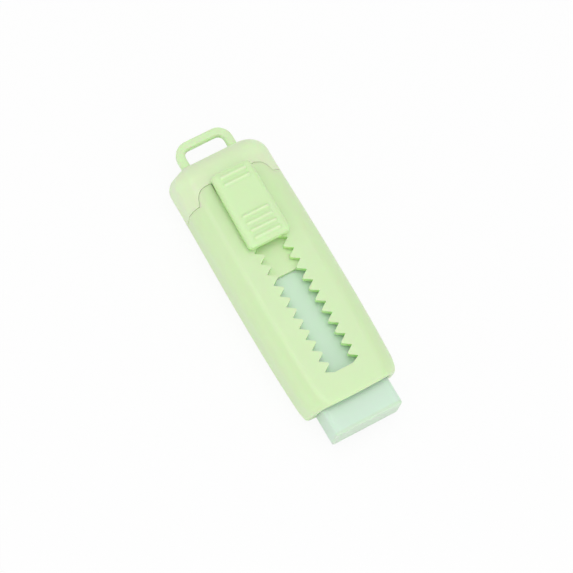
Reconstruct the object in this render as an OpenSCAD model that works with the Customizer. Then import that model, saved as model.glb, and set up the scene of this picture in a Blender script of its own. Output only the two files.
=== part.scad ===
// Pocket eraser stick: a flat sleeve with a zigzag slot, a thumb button that
// pushes an eraser block out of the mouth, and an end cap with a key loop.
// It lies on its flat back. X runs from the loop to the eraser, Z points up
// out of the face, and the origin is under the middle of the whole length.

/* [Eraser] */
// Length of the eraser block
eraser_l = 46.9; // [39:0.1:57]
// Width of the eraser block
eraser_w = 16.6; // [13.8:0.1:20]
// Thickness of the eraser block
eraser_t = 8.3; // [7:0.1:10]
// How far the eraser stands out of the mouth
eraser_out = 5.7; // [2:0.1:8]
// Radius of the eraser's long edges
eraser_edge_r = 0.9; // [0.3:0.1:1.2]
// Radius of the eraser's upright corners
eraser_corner_r = 0.5; // [0.3:0.1:2]

/* [Sleeve] */
// Length of the sleeve at its sides
sleeve_l = 53.3; // [47:0.1:65]
// Wall of the face and of the back
face_wall = 1.5; // [1.2:0.1:2]
// Side wall at the narrow rear end
side_wall = 1.9; // [1.3:0.05:2.2]
// Radius of the four long edges outside
edge_r = 4; // [3:0.1:4.6]
// How much each side draws in from the widest place to the rear
rear_draw = 0.3; // [0.2:0.05:0.8]
// How much each side draws in from the widest place to the shoulder
shoulder_draw = 0.5; // [0:0.05:0.7]
// How much each side draws in at the mouth
mouth_draw = 1.75; // [1:0.05:1.9]
// Length of the rounded-in shoulder before the mouth
shoulder_l = 4.7; // [4:0.1:7]
// Distance from the mouth to the widest place
widest_from_mouth = 31.5; // [12:0.5:36]
// Bow of the mouth's edge across the width
mouth_bow = 0.4; // [0.2:0.1:1]
// How far the mouth's back edge is set back from its face edge
mouth_rake = 2.2; // [0.2:0.1:2.4]
// Depth of the lip around the mouth, from its face edge
lip_l = 3.3; // [3:0.1:4]
// Height of the two rails that the eraser rides on
rail_h = 0.5; // [0.3:0.1:0.8]
// Width of each rail
rail_w = 1.2; // [0.8:0.1:2]
// Distance between the rails' middles
rail_spacing = 10; // [7:0.5:12]

/* [Slot] */
// Distance from one notch to the next
notch_pitch = 2.81; // [2.3:0.01:3.4]
// Depth of a notch
notch_depth = 1.75; // [1:0.05:1.9]
// Width of the slot between the tooth tips
slot_w = 4.8; // [4.4:0.1:5.6]
// Distance from the mouth to the first notch
slot_from_mouth = 7.2; // [6.6:0.1:10]
// Distance from the first notch to the slot's straight end
slot_end = 0.95; // [0.5:0.05:1.4]
// Width of the slot's straight end
slot_end_w = 4.6; // [3:0.1:5.2]
// Width of the plain opening that lets the button in from the rear
entry_w = 10.5; // [9:0.1:11]
// Distance from the parting line to the plain opening's front end
entry_l = 1.1; // [0.5:0.1:3]

/* [End cap] */
// Length of the cap at its sides
cap_l = 10.6; // [9:0.1:14]
// Wall at the cap's rear
cap_rear_wall = 1.6; // [1.2:0.1:2.4]
// Radius of the cap's rear corners, seen from above
cap_corner_r = 3; // [2.4:0.1:5]
// Radius of the cap's rear edges, seen from the side
cap_edge_r = 3.6; // [2:0.1:3.9]
// How far the sleeve's tongue reaches back into the cap
tongue_out = 3.3; // [2:0.1:4]
// Width of the tongue at its foot
tongue_foot_w = 18.4; // [16:0.1:19]
// Width of the tongue at its top
tongue_top_w = 14.4; // [12:0.1:15]
// Length of the collar that the cap is pushed onto
collar_l = 5; // [4.4:0.1:7]
// Wall of the collar
collar_wall = 0.7; // [0.6:0.05:0.85]

/* [Key loop] */
// How far the loop stands out behind the cap
loop_out = 6.2; // [5:0.1:8]
// Width of the loop outside
loop_w = 14; // [11:0.1:16]
// Width of the loop's bar
loop_bar = 2.1; // [1.2:0.1:2.4]
// Thickness of the loop
loop_t = 1.9; // [1.2:0.1:3]
// Radius of the loop's outer corners
loop_r = 3.6; // [2.5:0.1:4]
// Fillet where a leg meets the cap
loop_fillet = 1.4; // [0.5:0.1:2]

/* [Thumb button] */
// Length of the thumb pad
pad_l = 18.8; // [15:0.1:22]
// Width of the pad at its rear
pad_rear_w = 9.7; // [9:0.1:12]
// Width of the pad at its front
pad_front_w = 10.3; // [9:0.1:12]
// Thickness of the pad
pad_t = 2.2; // [1.6:0.1:3]
// Radius of the pad's corners
pad_r = 1.2; // [0.6:0.1:2.4]
// Height of the pad's front edge above the face
pad_lift = 0.8; // [0.6:0.05:1.2]
// Slope of the pad, rear end up, in degrees
pad_slope = 2; // [1:0.1:3]
// Length of each rib across the pad
rib_l = 7; // [5:0.1:8]
// Width of a rib
rib_w = 1; // [0.5:0.1:1.2]
// Height of a rib
rib_h = 0.35; // [0.2:0.05:0.6]
// Distance from one rib to the next
rib_pitch = 1.8; // [1.4:0.05:2.2]
// Number of ribs at the rear
rear_ribs = 2; // [1:1:3]
// Number of ribs at the front
front_ribs = 4; // [2:1:5]
// Distance from the pad's rear end to the first rib
rear_margin = 1.65; // [1:0.05:2.6]
// Distance from the pad's front end to the first rib
front_margin = 1.7; // [1:0.05:2.6]
// Length of the neck in the slot
neck_l = 9.4; // [7:0.1:9.8]
// Distance from the pad's rear end to the latch teeth
pad_to_latch = 8.1; // [6.3:0.05:8.8]

/* [Latch] */
// Thickness of the sprung tongue under the pad
tongue_t = 0.9; // [0.6:0.05:1]
// Free length of the sprung tongue
spring_l = 11; // [10:0.1:13]
// How far the latch teeth reach up between the notches
tooth_h = 0.5; // [0.3:0.05:0.6]
// Distance from the latch teeth to the tongue's root
latch_to_root = 8.65; // [8:0.05:10]
// Distance from the tongue's root to the neck
root_to_neck = 1.2; // [0.8:0.1:2]

/* [Carrier] */
// Thickness of the plate under the face
plate_t = 1.1; // [0.8:0.05:1.4]
// Thickness of the side jaws
jaw_t = 1.2; // [0.9:0.05:1.6]
// How far the jaws hold the eraser
grip_l = 6.8; // [6:0.1:12]
// How far the plate reaches ahead of the jaws
nose_l = 3.1; // [0.8:0.1:3.6]
// Thickness of the stop behind the eraser
stop_t = 1.2; // [0.8:0.1:2]
// Width of the plate's window around the latch
window_w = 8.8; // [8.4:0.1:10]
// Room in the window behind the tongue
window_room = 1.2; // [0.6:0.1:1.6]
// Distance from the latch teeth to the carrier's rear end
carrier_tail = 6.35; // [5.4:0.05:7]

/* [Fits] */
// Gap beside the carrier in the sleeve
run_side = 0.2; // [0.1:0.05:0.3]
// Gap above and below the moving pieces
run_face = 0.1; // [0.05:0.05:0.2]
// Gap around the eraser in its jaws
grip_gap = 0.1; // [0.05:0.05:0.2]
// Gap around the eraser in the mouth
mouth_gap = 0.3; // [0.2:0.05:0.5]
// Gap between the cap and the sleeve
cap_gap = 0.1; // [0.05:0.05:0.15]
// Gap beside the neck in the slot
slot_gap = 0.3; // [0.15:0.05:0.4]
// Gap between the teeth's tips and the notches
tip_gap = 0.2; // [0.1:0.05:0.3]
// Gap between the teeth and the neck
tooth_gap = 0.1; // [0.05:0.05:0.2]

/* [Hidden] */
$fn = 48;

// How far a cut runs clear of a face
over = 1;
// How far one shape sinks into another that it joins
sink = 0.2;
// Steps in a drawn curve
curve_steps = 8;
// Width and height, built up around the eraser
channel_w = eraser_w + 2 * (grip_gap + jaw_t + run_side);
housing_w = channel_w + 2 * (side_wall + rear_draw);
channel_top = face_wall + rail_h + run_face + eraser_t + run_face + plate_t + run_face;
housing_t = channel_top + face_wall;
channel_r = edge_r - face_wall;
// Stations along the length
overall_l = loop_out + cap_l + sleeve_l + eraser_out;
x_mouth = overall_l / 2 - eraser_out;
x_parting = x_mouth - sleeve_l;
x_rear = x_parting - cap_l;
x_shoulder = x_mouth - shoulder_l;
x_widest = x_mouth - widest_from_mouth;
x_first_notch = x_mouth - slot_from_mouth;
x_entry = x_parting + entry_l;
notches = floor((x_first_notch - x_entry) / notch_pitch);
x_latch = x_first_notch - (notches - 1) * notch_pitch;
// Eraser and carrier
x_eraser_front = x_mouth + eraser_out;
x_eraser_rear = x_eraser_front - eraser_l;
z_eraser = face_wall + rail_h + run_face;
z_plate_top = channel_top - run_face;
z_plate = z_plate_top - plate_t;
x_root = x_latch + latch_to_root;
x_jaw_front = max(x_eraser_rear + grip_l, x_root + nose_l);
x_carrier_rear = x_latch - carrier_tail;
carrier_w = channel_w - 2 * run_side;
window_tail = spring_l - latch_to_root + window_room;
// Button and latch
neck_w = slot_w - 2 * slot_gap;
z_spring_top = z_plate_top - run_face;
z_spring = z_spring_top - tongue_t;
x_pad_rear = x_latch - pad_to_latch;
x_pad_front = x_pad_rear + pad_l;
x_neck_rear = x_root - root_to_neck - neck_l;
notch_half_w = slot_w / 2 + notch_depth;
tooth_half_w = notch_half_w - tip_gap;

// Rounded rectangle about the origin, with true arcs
module soft_rect(w, h, r) {
    square([w - 2 * r, h], center = true);
    square([w, h - 2 * r], center = true);
    for (sx = [-1, 1], sy = [-1, 1])
        translate([sx * (w / 2 - r), sy * (h / 2 - r)]) circle(r);
}

// Section across the width, run along X from one station to another
module along_x(x0, x1) {
    translate([x0, 0, 0]) rotate([90, 0, 90]) linear_extrude(x1 - x0) children();
}

// Section seen from the side, run across the width
module across_y(w) {
    translate([0, w / 2, 0]) rotate([90, 0, 0]) linear_extrude(w) children();
}

// Upright section of the given size, standing between two heights
module section(w, z0, z1, r) {
    translate([0, (z0 + z1) / 2]) soft_rect(w, z1 - z0, r);
}

// Side of the housing seen from above, from the rear corner to the mouth
function side_points() = concat(
    [for (i = [0:curve_steps]) let (a = 180 - 90 * i / curve_steps)
        [x_rear + cap_corner_r + cap_corner_r * cos(a),
         housing_w / 2 - rear_draw - cap_corner_r + cap_corner_r * sin(a)]],
    [[x_widest, housing_w / 2]],
    [for (i = [0:curve_steps]) let (t = i / curve_steps)
        [x_shoulder + (shoulder_l - mouth_bow) * t,
         housing_w / 2 - shoulder_draw - (mouth_draw - shoulder_draw) * t * t]]);

// Mouth's edge, bowed a little forwards in the middle
function mouth_points() = [for (i = [1:curve_steps - 1])
    let (t = 1 - 2 * i / curve_steps)
        [x_mouth - mouth_bow * t * t, t * (housing_w / 2 - mouth_draw)]];

function mirrored(points) =
    [for (i = [len(points) - 1:-1:0]) [points[i][0], -points[i][1]]];

module housing_plan() {
    polygon(concat(side_points(), mouth_points(), mirrored(side_points())));
}

// Side of the housing seen across the width, cut off at the raked mouth
module side_profile() {
    lean = mouth_rake * over / housing_t;
    difference() {
        translate([x_rear + housing_t + sleeve_l, housing_t / 2])
            soft_rect(2 * (housing_t + sleeve_l), housing_t, cap_edge_r);
        polygon([[x_mouth - mouth_rake - lean, -over], [x_mouth + 2 * over, -over],
                 [x_mouth + 2 * over, housing_t + over], [x_mouth + lean, housing_t + over]]);
    }
}

// Outer form of sleeve and cap together
module housing_form() {
    intersection() {
        linear_extrude(housing_t) housing_plan();
        along_x(x_rear - over, x_mouth + over)
            section(housing_w, 0, housing_t, edge_r);
        across_y(housing_w + 2 * over) side_profile();
    }
}

// Tongue of the sleeve's face that reaches back between the cap's shoulders
module tongue_plan(grow = 0) {
    half = [for (i = [0:curve_steps]) let (t = i / curve_steps)
        [x_parting - (tongue_out + grow) * (1 - cos(180 * t)) / 2,
         tongue_foot_w / 2 + grow - (tongue_foot_w - tongue_top_w) / 2 * t]];
    front = [x_parting + over, tongue_foot_w / 2 + grow];
    polygon(concat([front], half, mirrored(half), [[front[0], -front[1]]]));
}

// Space that is the sleeve's side of the parting line
module sleeve_side(grow = 0) {
    translate([x_parting - grow, -housing_w, -over])
        cube([sleeve_l + 2 * over, 2 * housing_w, housing_t + 2 * over]);
    translate([0, 0, housing_t / 2])
        linear_extrude(housing_t) tongue_plan(grow);
}

// Channel that the carrier runs in
module channel(x0, x1) {
    along_x(x0, x1) section(channel_w, face_wall, channel_top, channel_r);
}

// Collar of the sleeve under the cap, grown by a gap for the cap's recess
module collar(grow) {
    along_x(x_parting - collar_l - grow, x_parting + grow)
        section(channel_w + 2 * (collar_wall + grow),
                face_wall - collar_wall - grow,
                channel_top + collar_wall + grow,
                channel_r + collar_wall);
}

// Half of the zigzag edge, from the slot's end back to the plain opening
function zigzag_points() = concat(
    [[x_first_notch + slot_end, slot_end_w / 2]],
    [for (k = [0:notches - 1]) each [
        [x_first_notch - k * notch_pitch, notch_half_w],
        [x_first_notch - (k + 0.5) * notch_pitch, slot_w / 2]]]);

module slot_plan() {
    edge = zigzag_points();
    back = [x_entry - over, slot_w / 2];
    polygon(concat(edge, [back], mirrored(concat(edge, [back]))));
    translate([x_parting - collar_l - over, -entry_w / 2])
        square([collar_l + over + entry_l, entry_w]);
}

module sleeve() {
    color([0.85, 0.94, 0.76])
    difference() {
        union() {
            intersection() {
                housing_form();
                sleeve_side();
            }
            collar(0);
        }
        difference() {
            channel(x_parting - collar_l - over, x_mouth - lip_l);
            for (side = [-1, 1])
                translate([x_parting, side * rail_spacing / 2 - rail_w / 2, 0])
                    cube([sleeve_l, rail_w, face_wall + rail_h]);
        }
        along_x(x_mouth - lip_l - over, x_mouth + over)
            section(eraser_w + 2 * mouth_gap, face_wall + rail_h, channel_top,
                    eraser_edge_r + mouth_gap);
        translate([0, 0, channel_top - over])
            linear_extrude(face_wall + 2 * over) slot_plan();
    }
}

// Loop seen from above, with its legs let into the cap's rear wall
module loop_plan() {
    x_out = x_rear - loop_out;
    x_in = x_rear + cap_rear_wall / 2;
    leg_out = loop_w / 2;
    difference() {
        union() {
            translate([x_out + loop_r, -leg_out]) square([x_in - x_out - loop_r, loop_w]);
            translate([x_out, -leg_out + loop_r]) square([loop_r, loop_w - 2 * loop_r]);
            for (side = [-1, 1]) {
                translate([x_out + loop_r, side * (leg_out - loop_r)]) circle(loop_r);
                scale([1, side]) difference() {
                    translate([x_rear - loop_fillet, leg_out - sink])
                        square([x_in - x_rear + loop_fillet, loop_fillet + sink]);
                    translate([x_rear - loop_fillet, leg_out + loop_fillet])
                        circle(loop_fillet);
                }
            }
        }
        hole_l = loop_out - loop_bar;
        hole_w = loop_w - 2 * loop_bar;
        hole_r = min(loop_r - loop_bar, hole_l / 2 - sink);
        translate([x_rear - hole_l / 2, 0]) soft_rect(hole_l, hole_w, hole_r);
    }
}

module end_cap() {
    color([0.86, 0.945, 0.775])
    union() {
        difference() {
            housing_form();
            sleeve_side(cap_gap);
            channel(x_rear + cap_rear_wall, x_parting);
            collar(cap_gap);
        }
        translate([0, 0, (housing_t - loop_t) / 2]) linear_extrude(loop_t) loop_plan();
    }
}

// Pad seen from above, measured back from its front edge
module pad_plan() {
    front = pad_front_w / 2;
    rear = pad_rear_w / 2;
    polygon([[0, front - pad_r], [-pad_r, front], [pad_r - pad_l, rear],
             [-pad_l, rear - pad_r], [-pad_l, pad_r - rear], [pad_r - pad_l, -rear],
             [-pad_r, -front], [0, pad_r - front]]);
    for (side = [-1, 1]) {
        translate([-pad_r, side * (front - pad_r)]) circle(pad_r);
        translate([pad_r - pad_l, side * (rear - pad_r)]) circle(pad_r);
    }
}

// One rib across the pad, half sunk, with round ends
module rib(x) {
    translate([x - rib_w / 2, -rib_l / 2 + rib_w / 2, pad_t - rib_h])
        cube([rib_w, rib_l - rib_w, 2 * rib_h]);
    for (side = [-1, 1])
        translate([x, side * (rib_l - rib_w) / 2, pad_t - rib_h])
            cylinder(h = 2 * rib_h, d = rib_w);
}

module thumb_button() {
    color([0.86, 0.955, 0.755])
    union() {
        translate([x_pad_front, 0, housing_t + pad_lift]) rotate([0, pad_slope, 0]) {
            linear_extrude(pad_t) pad_plan();
            for (i = [0:rear_ribs - 1])
                rib(-pad_l + rear_margin + i * rib_pitch);
            for (i = [0:front_ribs - 1])
                rib(-front_margin - i * rib_pitch);
        }
        translate([x_neck_rear, -neck_w / 2, z_spring_top])
            cube([neck_l, neck_w, housing_t + pad_lift + pad_t / 2 - z_spring_top]);
    }
}

// Pair of teeth that stand in one pair of notches
module tooth_plan() {
    reach = tooth_half_w - neck_w / 2 + slot_gap;
    foot = reach * notch_pitch / 2 / notch_depth;
    for (side = [-1, 1]) scale([1, side])
        polygon([[-foot, neck_w / 2 - slot_gap], [foot, neck_w / 2 - slot_gap],
                 [0, tooth_half_w]]);
}

module latch_spring() {
    color([0.80, 0.91, 0.68])
    union() {
        translate([x_root - spring_l, -neck_w / 2, z_spring])
            cube([spring_l, neck_w, tongue_t]);
        difference() {
            translate([x_latch, 0, z_spring])
                linear_extrude(channel_top + tooth_h - z_spring) tooth_plan();
            translate([x_latch - notch_pitch, -neck_w / 2 - tooth_gap, z_spring_top])
                cube([2 * notch_pitch, neck_w + 2 * tooth_gap, housing_t]);
        }
    }
}

module eraser_carrier() {
    inside_w = eraser_w + 2 * grip_gap;
    nose_w = carrier_w - 2 * channel_r;
    x_stop = x_eraser_rear - grip_gap - stop_t;
    color([0.77, 0.89, 0.65])
    difference() {
        union() {
            along_x(x_carrier_rear, x_jaw_front)
                section(carrier_w, face_wall + run_face, z_plate_top,
                        channel_r - run_side);
            translate([x_jaw_front - over, -nose_w / 2, z_plate])
                cube([nose_l + over, nose_w, plate_t]);
        }
        // Seat of the eraser, then the room behind it that the tongue bends into
        translate([x_stop + stop_t, -inside_w / 2, 0])
            cube([x_jaw_front - x_stop, inside_w, z_plate]);
        translate([x_carrier_rear + stop_t, -inside_w / 2, 0])
            cube([x_stop - x_carrier_rear - stop_t, inside_w, z_plate]);
        // Room over the rails
        translate([x_carrier_rear - over, -inside_w / 2, 0])
            cube([x_jaw_front - x_carrier_rear + 2 * over, inside_w, z_eraser]);
        // Window that the tongue and its teeth stand in
        translate([x_latch - window_tail, -window_w / 2, z_plate - over])
            cube([x_root - x_latch + window_tail, window_w, plate_t + 2 * over]);
    }
}

module eraser_block() {
    color([0.83, 0.92, 0.84])
    intersection() {
        along_x(x_eraser_rear, x_eraser_front)
            section(eraser_w, z_eraser, z_eraser + eraser_t, eraser_edge_r);
        translate([(x_eraser_front + x_eraser_rear) / 2, 0, 0])
            linear_extrude(housing_t) soft_rect(eraser_l, eraser_w, eraser_corner_r);
    }
}

sleeve();
end_cap();
thumb_button();
latch_spring();
eraser_carrier();
eraser_block();
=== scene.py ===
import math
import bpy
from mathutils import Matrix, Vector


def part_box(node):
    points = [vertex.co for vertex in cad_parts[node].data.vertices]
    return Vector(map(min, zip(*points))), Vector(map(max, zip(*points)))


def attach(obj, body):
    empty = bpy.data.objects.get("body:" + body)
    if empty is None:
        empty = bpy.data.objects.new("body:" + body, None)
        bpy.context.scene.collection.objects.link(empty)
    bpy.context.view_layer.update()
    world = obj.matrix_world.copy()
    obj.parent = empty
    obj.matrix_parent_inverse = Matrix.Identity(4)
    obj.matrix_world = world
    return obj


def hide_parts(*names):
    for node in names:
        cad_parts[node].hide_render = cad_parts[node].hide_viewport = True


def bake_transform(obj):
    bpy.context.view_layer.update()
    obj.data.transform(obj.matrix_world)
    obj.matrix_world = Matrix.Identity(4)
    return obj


bl_info = {
    "name": "Slide eraser",
    "version": (1, 0, 0),
    "blender": (4, 5, 0),
    "location": "3D View > Sidebar > Slide eraser",
    "description": "Builds the looks of a slide eraser around its fixed CAD frame",
    "category": "Object",
}

from types import SimpleNamespace

import bmesh
import bpy
from mathutils import Matrix, Vector

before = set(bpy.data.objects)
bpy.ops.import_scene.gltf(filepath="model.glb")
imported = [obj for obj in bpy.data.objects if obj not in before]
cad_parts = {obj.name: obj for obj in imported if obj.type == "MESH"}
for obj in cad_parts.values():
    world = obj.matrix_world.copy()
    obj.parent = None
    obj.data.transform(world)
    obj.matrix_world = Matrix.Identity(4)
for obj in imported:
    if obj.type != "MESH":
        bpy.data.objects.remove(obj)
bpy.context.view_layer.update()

# Pieces are drawn in millimetres and put into the row frame, in metres, at the end
MM = 0.001
SLEEVE_BOX = [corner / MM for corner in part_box("sleeve")]
CAP_BOX = [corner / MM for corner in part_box("end_cap")]
BUTTON_BOX = [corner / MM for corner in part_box("thumb_button")]
ERASER_BOX = [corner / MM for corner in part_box("eraser_block")]
CARRIER_BOX = [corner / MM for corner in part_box("eraser_carrier")]
LATCH_BOX = [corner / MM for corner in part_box("latch_spring")]


def length(name, description, default, low=0.0):
    """A length that a user may change, given here in millimetres."""
    return bpy.props.FloatProperty(
        name=name, description=description, default=default * MM, min=low * MM,
        unit="LENGTH", subtype="DISTANCE", precision=5)


def colour(name, description, default):
    """A linear colour that a user may change."""
    return bpy.props.FloatVectorProperty(
        name=name, description=description, default=default, size=3,
        min=0.0, max=1.0, subtype="COLOR")


def share(name, description, default):
    """A number from 0 to 1 that a user may change."""
    return bpy.props.FloatProperty(
        name=name, description=description, default=default, min=0.0, max=1.0,
        subtype="FACTOR")


def power(name, description, default):
    """A lamp's power in watts that a user may change."""
    return bpy.props.FloatProperty(
        name=name, description=description, default=default, min=0,
        subtype="POWER", unit="POWER")


def angle(name, description, degrees):
    """An angle that a user may change, given here in degrees."""
    return bpy.props.FloatProperty(
        name=name, description=description, default=math.radians(degrees),
        subtype="ANGLE", unit="ROTATION")


def count(name, description, default):
    """A whole number that a user may change."""
    return bpy.props.IntProperty(name=name, description=description, default=default, min=1)


class HolderSizes(bpy.types.PropertyGroup):
    """Sizes of the sleeve and the end cap."""
    edge_r: length("Long edges", "Radius of the four long edges", 4.3)
    parting: length("Parting line", "Mouth to the parting line", 53.3)
    rear_draw: length("Rear draw", "Each side's draw at the rear", 0.3)
    shoulder_draw: length("Shoulder draw", "Each side's draw at the shoulder", 0.5)
    mouth_draw: length("Mouth draw", "Each side's draw at the mouth", 1.6)
    widest: length("Widest place", "Mouth to the widest place", 31.5)
    shoulder: length("Shoulder", "Length of the rounded-in shoulder", 4.7)
    bow: length("Bow", "Bow of the mouth's edge across the width", 0.45)
    mouth_corner_r: length("Mouth corners", "Mouth's corner radius at the back", 0.4)
    mouth_face_r: length("Mouth face corners", "Mouth's corner radius at the face", 1.9)
    rake: length("Rake", "Setback of the mouth's back edge", 2.05)
    mouth_r: length("Mouth edge", "Radius of the mouth's outer edge", 0.45)
    lip: length("Lip", "Depth of the lip around the mouth", 3.3)
    wall: length("Wall", "Wall of the face and of the back", 1.5)
    channel_w: length("Channel width", "Width of the channel inside", 19.6)
    rail_h: length("Rail height", "Height of the two rails under the eraser", 0.5)
    rail_w: length("Rail width", "Width of each rail", 1.2)
    rail_spacing: length("Rail spacing", "One rail's middle to the other's", 10)
    mouth_gap: length("Mouth gap", "Gap around the eraser in the mouth", 0.3)
    collar_wall: length("Collar wall", "Wall of the collar under the cap", 0.7)
    collar_l: length("Collar length", "Length of the collar under the cap", 5)
    tongue: length("Tongue", "Reach of the sleeve's tongue", 3.5)
    tongue_foot: length("Tongue foot", "Width of the tongue at its foot", 18.1)
    tongue_top: length("Tongue top", "Width of the tongue's straight end", 11)
    parting_r: length("Parting edge", "Radius of the parting line's edges", 0.16)
    seam: length("Seam", "Gap that shows at the parting line", 0.05)
    cap_gap: length("Cap gap", "Gap between the cap and the sleeve", 0.1)
    cap_l: length("Cap length", "Length of the cap at its sides", 10.6)
    cap_corner_r: length("Cap corners", "Radius of the rear corners at the back", 3)
    cap_face_r: length("Cap face corners", "Radius of the rear corners at the face", 4.8)
    cap_edge_r: length("Cap edge", "Radius of the rear edge of the face", 4.4)
    cap_back_r: length("Cap back edge", "Radius of the rear edge of the back", 3)
    cap_wall: length("Cap wall", "Wall at the cap's rear", 1.6)
    loop_w: length("Loop width", "Width of the key loop outside", 14)
    loop_bar: length("Loop bar", "Width of the key loop's bar", 2.1)
    loop_t: length("Loop thickness", "Thickness of the key loop", 1.9)
    loop_r: length("Loop corners", "Radius of the loop's outer corners", 3.6)


class SlotSizes(bpy.types.PropertyGroup):
    """Sizes of the zigzag slot."""
    pitch: length("Pitch", "One notch to the next", 2.81)
    notches: count("Notches", "Number of notches on each side", 16)
    depth: length("Depth", "Depth of a notch", 2.1)
    width: length("Width", "Width between the unrounded teeth", 4.3)
    from_mouth: length("From mouth", "Mouth to the first notch", 7.2)
    end_l: length("End", "First notch to the slot's end", 0.95)
    end_w: length("End width", "Width of the slot's straight end", 4.6)
    end_r: length("End radius", "Radius of the end's two corners", 1.4)
    notch_r: length("Notch radius", "Radius at the bottom of a notch", 0.12)
    tooth_r: length("Tooth radius", "Radius at the tip of a tooth", 0.35)
    edge_r: length("Edge", "Radius of the slot's edge in the face", 0.14)
    entry_w: length("Entry width", "Width of the plain opening at the rear", 9.2)
    entry_l: length("Entry", "Parting line to the opening's front", 1.1)


class ButtonSizes(bpy.types.PropertyGroup):
    """Sizes of the thumb button."""
    pad_l: length("Pad length", "Length of the thumb pad", 18.8)
    rear_w: length("Rear width", "Width of the pad at its rear", 9.7)
    front_w: length("Front width", "Width of the pad at its front", 10.3)
    pad_t: length("Pad thickness", "Thickness of the pad", 2.2)
    corner_r: length("Corners", "Radius of the pad's corners", 1.2)
    edge_r: length("Top edge", "Radius of the pad's top edge", 0.85)
    lift: length("Lift", "Height of the pad's front edge above the face", 0.8)
    slope: angle("Slope", "Slope of the pad, rear end up", 2)
    rib_l: length("Rib length", "Length of each rib across the pad", 7.2)
    rib_w: length("Rib width", "Width of a rib at its foot", 1.4)
    rib_h: length("Rib height", "Height of a rib", 0.42)
    rib_pitch: length("Rib pitch", "One rib to the next", 1.8)
    rear_ribs: count("Rear ribs", "Number of ribs at the rear", 2)
    front_ribs: count("Front ribs", "Number of ribs at the front", 4)
    rear_margin: length("Rear margin", "Pad's rear end to the first rib", 1.65)
    front_margin: length("Front margin", "Pad's front end to the first rib", 1.7)
    neck_l: length("Neck length", "Length of the neck in the slot", 9.4)
    neck_w: length("Neck width", "Width of the neck in the slot", 4.2)
    neck_rear: length("Neck place", "Pad's rear to the neck", 6.15)


class InsideSizes(bpy.types.PropertyGroup):
    """Sizes of the carrier, the sprung latch and the eraser block."""
    plate_t: length("Plate", "Thickness of the plate under the face", 1.1)
    nose_l: length("Nose", "How far the plate reaches ahead of the jaws", 3.1)
    stop_t: length("Stop", "Thickness of the stop behind the eraser", 1.2)
    window_w: length("Window width", "Width of the plate's window", 8.8)
    window_l: length("Window length", "Length of the plate's window", 12.2)
    round_r: length("Carrier edges", "Radius of the carrier's long edges", 2.3)
    grip_gap: length("Grip gap", "Gap around the eraser in its jaws", 0.1)
    spring_t: length("Spring", "Thickness of the sprung tongue", 0.9)
    tooth_place: length("Tooth place", "Tongue's rear to its teeth", 2.35)
    eraser_edge_r: length("Eraser edges", "Radius of the eraser's long edges", 1.1)
    eraser_corner_r: length("Eraser corners", "Radius of its upright corners", 0.4)
    eraser_end_r: length("Eraser ends", "Radius of the edges of its end faces", 0.5)
    eraser_foot_r: length("Eraser foot", "Radius of its long edges underneath", 0.5)
    eraser_lean: length("Eraser lean", "Lean of its front face, foot to top", 0.4)


class Finishes(bpy.types.PropertyGroup):
    """Colours and gloss of the moulded plastic and the vinyl, with colours that paint shade, light
    and highlights.
    """
    sleeve: colour("Sleeve", "Colour of the sleeve", (0.670, 0.850, 0.495))
    cap: colour("Cap", "Colour of the end cap", (0.745, 0.925, 0.570))
    button: colour("Button", "Colour of the thumb button", (0.655, 0.860, 0.475))
    carrier: colour("Carrier", "Colour of the carrier and its latch", (0.700, 0.875, 0.515))
    eraser: colour("Eraser", "Colour of the eraser block", (0.655, 0.825, 0.690))
    # The deep colour is painted shade: a saturated green that stands in for the shade in the slot
    # and under the thumb pad
    deep: colour("Deep", "Colour of the slot's walls and the pad's foot", (0.600, 0.970, 0.350))
    # The loop colour is painted shade: a deeper green on the thin loop and the cap's rear, where
    # they lie in shade
    loop: colour("Loop", "Colour of the thin key loop", (0.700, 0.880, 0.530))
    # The crest colour is a painted highlight: the ribs' crests are lighter where they catch the
    # light
    crest_highlight: colour("Crest", "Colour of the ribs' crests", (0.740, 0.900, 0.560))
    # The eraser face colour is painted shade with a painted grey reflection: the front face is
    # darker and greyer where it is seen at a slant
    face: colour("Eraser face", "Colour of the eraser's cut front face", (0.620, 0.777, 0.600))
    # The inner colour is painted light: the eraser is lighter where it lies in the holder, to lift
    # the shade in the slot
    inner: colour("Inner", "Colour of the eraser inside the holder", (0.680, 0.870, 0.705))
    plastic_rough: share("Plastic roughness", "Roughness of the plastic", 0.38)
    eraser_rough: share("Eraser roughness", "Roughness of the vinyl", 0.48)
    veil: share("Veil", "Strength of the satin reflection over the colour", 0.6)
    plastic_soft: share("Plastic depth", "How much light goes through the plastic", 0.5)
    eraser_soft: share("Vinyl depth", "How much light goes through the vinyl", 0.5)
    mottle: share("Mottle", "Strength of the faint clouds in the colour", 0.015)
    grain: length("Grain", "Depth of the moulded surface's fine grain", 0.004)


class StageSettings(bpy.types.PropertyGroup):
    """Floor, lamps and camera."""
    floor: colour("Floor", "Colour of the floor", (0.93, 0.93, 0.93))
    sky: share("Sky", "Strength of the even light from all round", 0.73)
    key: power("Key lamp", "Power of the large lamp above", 0.57)
    front: power("Front lamp", "Power of the lamp ahead of the mouth", 0.32)
    side: power("Side lamp", "Power of the low lamp beside the object", 0.18)
    view_w: length("View width", "Width that the camera takes in at the object", 124.9)
    view_angle: angle("View angle", "Camera's angle of view", 10)


def sizes(group):
    """The group's values as plain numbers, its lengths in millimetres."""
    found = {}
    for key in group.__annotations__:
        value, kind = getattr(group, key), group.bl_rna.properties[key]
        if kind.unit == "LENGTH":
            value = value / MM
        elif kind.subtype == "COLOR":
            value = tuple(value)
        found[key] = value
    return SimpleNamespace(**found)


def groups(context, *names):
    """The sizes of the groups of these names."""
    found = [sizes(getattr(context.scene, "eraser_" + name)) for name in names]
    return found if len(found) > 1 else found[0]


# Drawing helpers

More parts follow.
